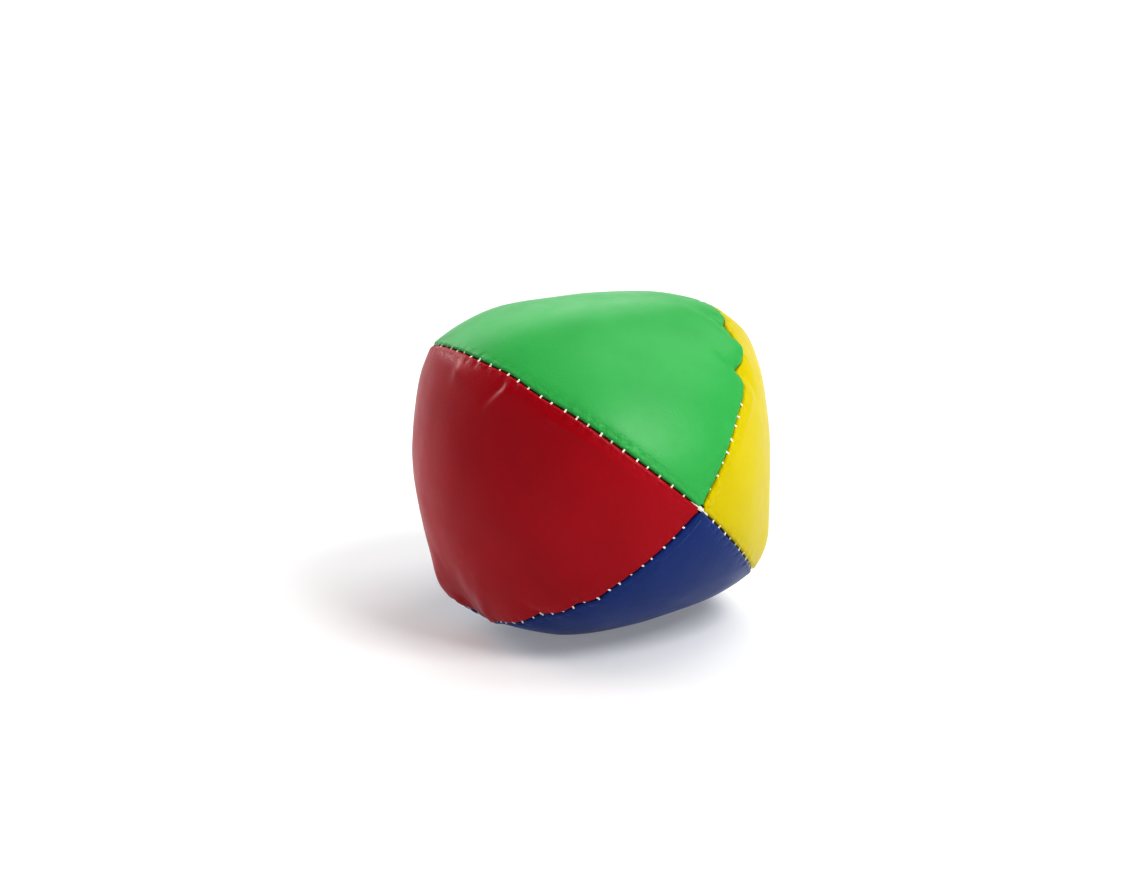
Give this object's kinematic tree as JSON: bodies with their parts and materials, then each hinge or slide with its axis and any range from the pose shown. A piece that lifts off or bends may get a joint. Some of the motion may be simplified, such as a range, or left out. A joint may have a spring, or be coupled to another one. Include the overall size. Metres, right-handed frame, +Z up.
{
  "type": "juggling ball",
  "caption": "Soft stitched leather beanbag ball for juggling, with alternately coloured pointed panels that meet at two poles, packed with seed.",
  "frame": {"origin": "middle of the flattened patch that the ball rests on, straight below its centre", "axes": "+Z up, through the middle of the green panel; the pole axis, where all four seams meet, along Y with the front pole at -Y; the red panel faces -X and the yellow panel +X"},
  "size_m": [0.06, 0.073, 0.0584],
  "materials": {
    "leather_green": "smooth semi-gloss synthetic leather",
    "leather_yellow": "smooth semi-gloss synthetic leather",
    "leather_blue": "smooth semi-gloss synthetic leather",
    "leather_red": "smooth semi-gloss synthetic leather",
    "thread_white": "twisted polyester sewing thread",
    "filling_millet": "dry millet seed, matte"
  },
  "bodies": {
    "root": {"panel_green": "leather_green", "panel_yellow": "leather_yellow", "panel_blue": "leather_blue", "panel_red": "leather_red", "needle_thread_green_yellow": "thread_white", "bobbin_thread_green_yellow": "thread_white", "closing_thread": "thread_white", "needle_thread_yellow_blue": "thread_white", "bobbin_thread_yellow_blue": "thread_white", "needle_thread_blue_red": "thread_white", "bobbin_thread_blue_red": "thread_white", "needle_thread_red_green": "thread_white", "bobbin_thread_red_green": "thread_white", "front_pole_knot": "thread_white", "back_pole_knot": "thread_white", "filling": "filling_millet"}
  },
  "joints": []
}
